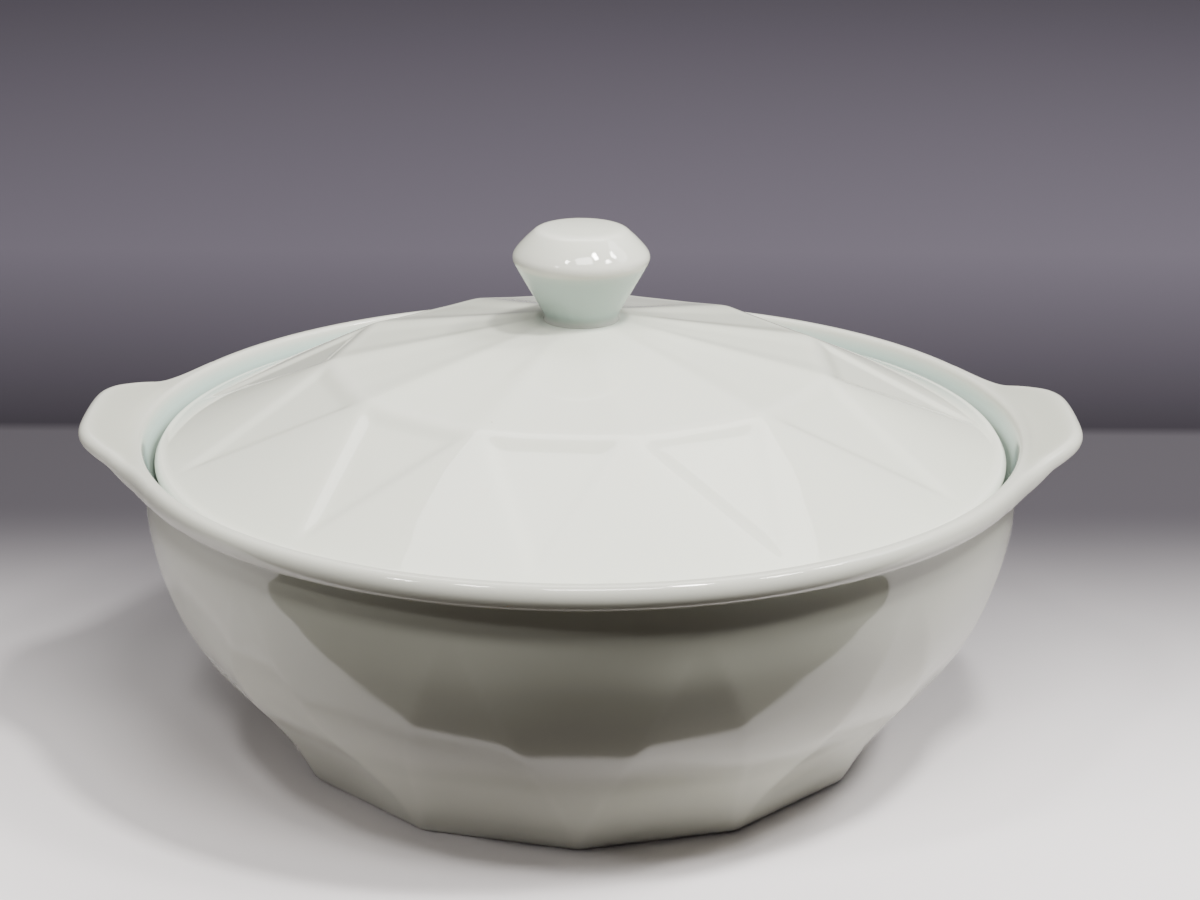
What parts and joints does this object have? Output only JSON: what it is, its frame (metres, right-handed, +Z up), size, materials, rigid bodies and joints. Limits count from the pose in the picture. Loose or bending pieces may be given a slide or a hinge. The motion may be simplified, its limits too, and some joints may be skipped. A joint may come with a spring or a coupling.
{
  "type": "lidded casserole dish",
  "caption": "Round glazed ceramic dish on a faceted foot, with a flat lug on each side of the rim and a lift-off faceted lid with a turned knob.",
  "frame": {"origin": "centre of the foot's underside, on the surface that the dish stands on", "axes": "+X from lug to lug, +Z up through the knob, -Y is the front"},
  "size_m": [0.2594, 0.235, 0.137],
  "materials": {
    "bowl_glaze": "gloss celadon-white glaze, bare biscuit under the foot",
    "lid_glaze": "gloss celadon-white glaze, bare biscuit under the flange",
    "knob_glaze": "gloss celadon-white glaze"
  },
  "bodies": {
    "dish": {"bowl": "bowl_glaze"},
    "cover": {"lid": "lid_glaze", "lid_knob": "knob_glaze"}
  },
  "joints": [
    {"name": "lid_lift", "type": "slide", "parent": "dish", "child": "cover", "axis": [0, 0, 1], "range_m": [0, 0.12]}
  ]
}
